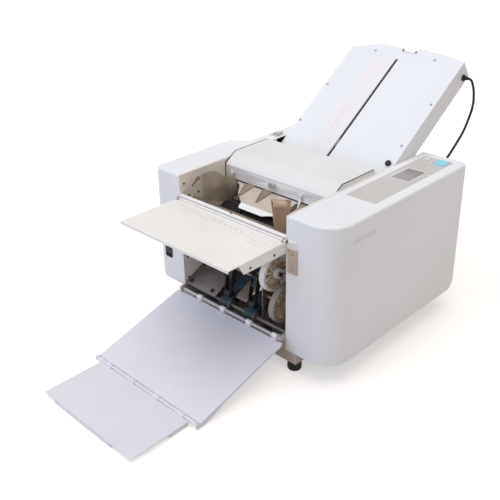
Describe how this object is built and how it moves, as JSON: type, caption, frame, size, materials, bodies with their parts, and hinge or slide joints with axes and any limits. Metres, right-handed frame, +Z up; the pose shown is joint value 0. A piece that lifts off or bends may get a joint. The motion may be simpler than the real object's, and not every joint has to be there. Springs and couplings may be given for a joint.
{
  "type": "paper folding machine",
  "caption": "Table-top friction-feed paper folder with a feed table, hinged top cover, sloping fold plate, control panel, delivery belts and a folding tray.",
  "frame": {"origin": "middle of the whole machine's box, on the surface that its feet stand on", "axes": "+Z up, -Y towards the operator (feed table and tray side), +X to the operator's right"},
  "size_m": [0.539, 1.123, 0.5754],
  "materials": {
    "shell_white": "satin",
    "cover_white": "satin",
    "tray_white": "satin",
    "frame_grey": "satin",
    "pan_steel": "satin",
    "bracket_steel": "satin",
    "guide_steel": "satin",
    "bright_steel": "polished",
    "dark_steel": "satin",
    "guide_grey": "satin",
    "cream_sheet": "satin",
    "black_rubber": "matte",
    "belt_teal": "matte",
    "roller_rubber": "matte",
    "black_plastic": "matte",
    "wheel_plastic": "satin",
    "panel_grey": "matte",
    "bezel_white": "satin",
    "screen_grey": "polished",
    "key_cyan": "satin",
    "key_pale": "satin",
    "key_pink": "satin",
    "board_green": "matte",
    "motor_black": "satin",
    "carriage_plastic": "satin"
  },
  "bodies": {
    "machine": {"base_pan": "pan_steel", "feet": "black_rubber", "frame_left": "frame_grey", "frame_right": "frame_grey", "house_left": "shell_white", "house_right": "shell_white", "rear_panel": "shell_white", "stays": "pan_steel", "control_panel": "panel_grey", "display_bezel": "bezel_white", "display_screen": "screen_grey", "key_board": "board_green", "switch_body": "black_plastic", "mains_inlet": "black_plastic", "table_brackets": "bracket_steel", "front_bar": "bezel_white", "feed_deck": "dark_steel", "stack_ramp": "cream_sheet", "guide_rail": "bright_steel", "motors": "motor_black", "lower_plate": "guide_grey", "plate_shell": "shell_white", "plate_base": "pan_steel", "plate_channel": "guide_grey", "stop_belt": "black_rubber", "stop_motor": "motor_black", "lead": "black_plastic", "lead_fittings": "black_plastic", "tray_rod": "bright_steel", "delivery_belts": "belt_teal", "paper_guides": "guide_grey", "wheel_bracket": "dark_steel"},
    "table": {"feed_table": "cover_white"},
    "guide_left": {"side_guide_left": "guide_steel"},
    "guide_right": {"side_guide_right": "guide_steel"},
    "cover": {"top_cover": "cover_white", "separator_fingers": "bright_steel", "apron_posts": "cream_sheet"},
    "knob": {"pressure_knob": "bright_steel"},
    "feed_roller": {"feed_roller": "black_rubber"},
    "roller_1": {"fold_roller_1": "roller_rubber"},
    "roller_2": {"fold_roller_2": "bright_steel"},
    "roller_3": {"fold_roller_3": "roller_rubber"},
    "roller_4": {"fold_roller_4": "roller_rubber"},
    "lower_stop": {"lower_stop": "carriage_plastic"},
    "carriage": {"stop_carriage": "carriage_plastic"},
    "pulley_low": {"belt_pulley_low": "carriage_plastic"},
    "pulley_high": {"belt_pulley_high": "carriage_plastic"},
    "lock_knob": {"lock_knob": "black_plastic"},
    "tray": {"exit_tray": "tray_white"},
    "extension": {"tray_extension": "tray_white"},
    "shaft_front": {"belt_shaft_front": "bright_steel"},
    "shaft_rear": {"belt_shaft_rear": "bright_steel"},
    "press_arms": {"press_arms": "black_plastic"},
    "wheel_upper": {"wheel_upper": "wheel_plastic"},
    "wheel_lower": {"wheel_lower": "wheel_plastic"},
    "rocker": {"power_rocker": "black_plastic"},
    "key_start": {"key_start": "key_cyan"},
    "key_stop": {"key_stop": "key_pale"},
    "key_mode": {"key_mode": "key_pink"}
  },
  "joints": [
    {"name": "table_fold", "type": "hinge", "parent": "machine", "child": "table", "pos_m": [-0.0185, -0.14368, 0.322], "axis": [-1, 0, 0], "range_deg": [0, 90]},
    {"name": "guide_left_slide", "type": "slide", "parent": "machine", "child": "guide_left", "axis": [-1, 0, 0], "range_m": [-0.008, 0.04]},
    {"name": "guide_right_slide", "type": "slide", "parent": "machine", "child": "guide_right", "axis": [1, 0, 0], "range_m": [-0.008, 0.04]},
    {"name": "cover_open", "type": "hinge", "parent": "machine", "child": "cover", "pos_m": [-0.0185, 0.16332, 0.371], "axis": [-1, 0, 0], "range_deg": [0, 55]},
    {"name": "knob_turn", "type": "hinge", "parent": "cover", "child": "knob", "pos_m": [-0.024, 0.01032, 0.35], "axis": [0, -1, 0], "range_deg": [0, 270]},
    {"name": "feed_roller_spin", "type": "hinge", "parent": "machine", "child": "feed_roller", "pos_m": [-0.0185, -0.05968, 0.28579], "axis": [1, 0, 0], "continuous": true},
    {"name": "roller_2_spin", "type": "hinge", "parent": "machine", "child": "roller_2", "pos_m": [-0.0185, 0.16032, 0.2975], "axis": [1, 0, 0], "continuous": true},
    {"name": "roller_1_spin", "type": "hinge", "parent": "machine", "child": "roller_1", "pos_m": [-0.0185, 0.16032, 0.338], "axis": [1, 0, 0], "continuous": true},
    {"name": "roller_3_spin", "type": "hinge", "parent": "machine", "child": "roller_3", "pos_m": [-0.0185, 0.20082, 0.2975], "axis": [1, 0, 0], "continuous": true},
    {"name": "roller_4_spin", "type": "hinge", "parent": "machine", "child": "roller_4", "pos_m": [-0.0185, 0.16032, 0.257], "axis": [1, 0, 0], "continuous": true},
    {"name": "lower_stop_slide", "type": "slide", "parent": "machine", "child": "lower_stop", "axis": [0, 0, 1], "range_m": [-0.04, 0.08]},
    {"name": "carriage_slide", "type": "slide", "parent": "machine", "child": "carriage", "axis": [0, 0.829, 0.5592], "range_m": [-0.014, 0.25]},
    {"name": "pulley_low_spin", "type": "hinge", "parent": "machine", "child": "pulley_low", "pos_m": [-0.0565, 0.22904, 0.35793], "axis": [0, -0.5592, 0.829], "range_deg": [-90, 1592]},
    {"name": "pulley_high_spin", "type": "hinge", "parent": "machine", "child": "pulley_high", "pos_m": [-0.0565, 0.50263, 0.54247], "axis": [0, -0.5592, 0.829], "range_deg": [-90, 1592]},
    {"name": "lock_knob_turn", "type": "hinge", "parent": "machine", "child": "lock_knob", "pos_m": [0.1315, 0.23672, 0.37517], "axis": [0, -0.5592, 0.829], "range_deg": [0, 90]},
    {"name": "tray_lift", "type": "hinge", "parent": "machine", "child": "tray", "pos_m": [-0.0185, -0.15168, 0.086], "axis": [-1, 0, 0], "range_deg": [0, 60]},
    {"name": "extension_fold", "type": "hinge", "parent": "tray", "child": "extension", "pos_m": [-0.0185, -0.40947, 0.012], "axis": [-1, 0, 0], "range_deg": [0, 150]},
    {"name": "shaft_rear_spin", "type": "hinge", "parent": "machine", "child": "shaft_rear", "pos_m": [-0.0185, 0.01832, 0.141], "axis": [1, 0, 0], "continuous": true},
    {"name": "shaft_front_spin", "type": "hinge", "parent": "machine", "child": "shaft_front", "pos_m": [-0.0185, -0.11968, 0.08], "axis": [1, 0, 0], "continuous": true},
    {"name": "press_arms_swing", "type": "hinge", "parent": "machine", "child": "press_arms", "pos_m": [-0.0185, -0.09968, 0.17], "axis": [-1, 0, 0], "range_deg": [0, 12]},
    {"name": "wheel_upper_spin", "type": "hinge", "parent": "machine", "child": "wheel_upper", "pos_m": [0.0725, -0.09368, 0.2006], "axis": [1, 0, 0], "continuous": true},
    {"name": "wheel_lower_spin", "type": "hinge", "parent": "machine", "child": "wheel_lower", "pos_m": [0.0995, -0.09368, 0.1306], "axis": [1, 0, 0], "continuous": true},
    {"name": "rocker_tilt", "type": "hinge", "parent": "machine", "child": "rocker", "pos_m": [-0.2335, -0.13368, 0.168], "axis": [-1, 0, 0], "range_deg": [0, 16]},
    {"name": "key_start_press", "type": "slide", "parent": "machine", "child": "key_start", "axis": [0, 0, -1], "range_m": [0, 0.001], "stiffness_N_per_m": 200, "springref_m": -0.0005},
    {"name": "key_stop_press", "type": "slide", "parent": "machine", "child": "key_stop", "axis": [0, 0, -1], "range_m": [0, 0.001], "stiffness_N_per_m": 200, "springref_m": -0.0005},
    {"name": "key_mode_press", "type": "slide", "parent": "machine", "child": "key_mode", "axis": [0, 0, -1], "range_m": [0, 0.001], "stiffness_N_per_m": 200, "springref_m": -0.0005}
  ],
  "couplings": [
    {"joint": "guide_right_slide", "follows": "guide_left_slide", "ratio": 1},
    {"joint": "roller_1_spin", "follows": "roller_2_spin", "ratio": -1},
    {"joint": "roller_3_spin", "follows": "roller_2_spin", "ratio": -1},
    {"joint": "roller_4_spin", "follows": "roller_2_spin", "ratio": -1},
    {"joint": "shaft_front_spin", "follows": "shaft_rear_spin", "ratio": 1},
    {"joint": "pulley_low_spin", "follows": "carriage_slide", "rad_per_m": 111.11},
    {"joint": "pulley_high_spin", "follows": "carriage_slide", "rad_per_m": 111.11}
  ]
}
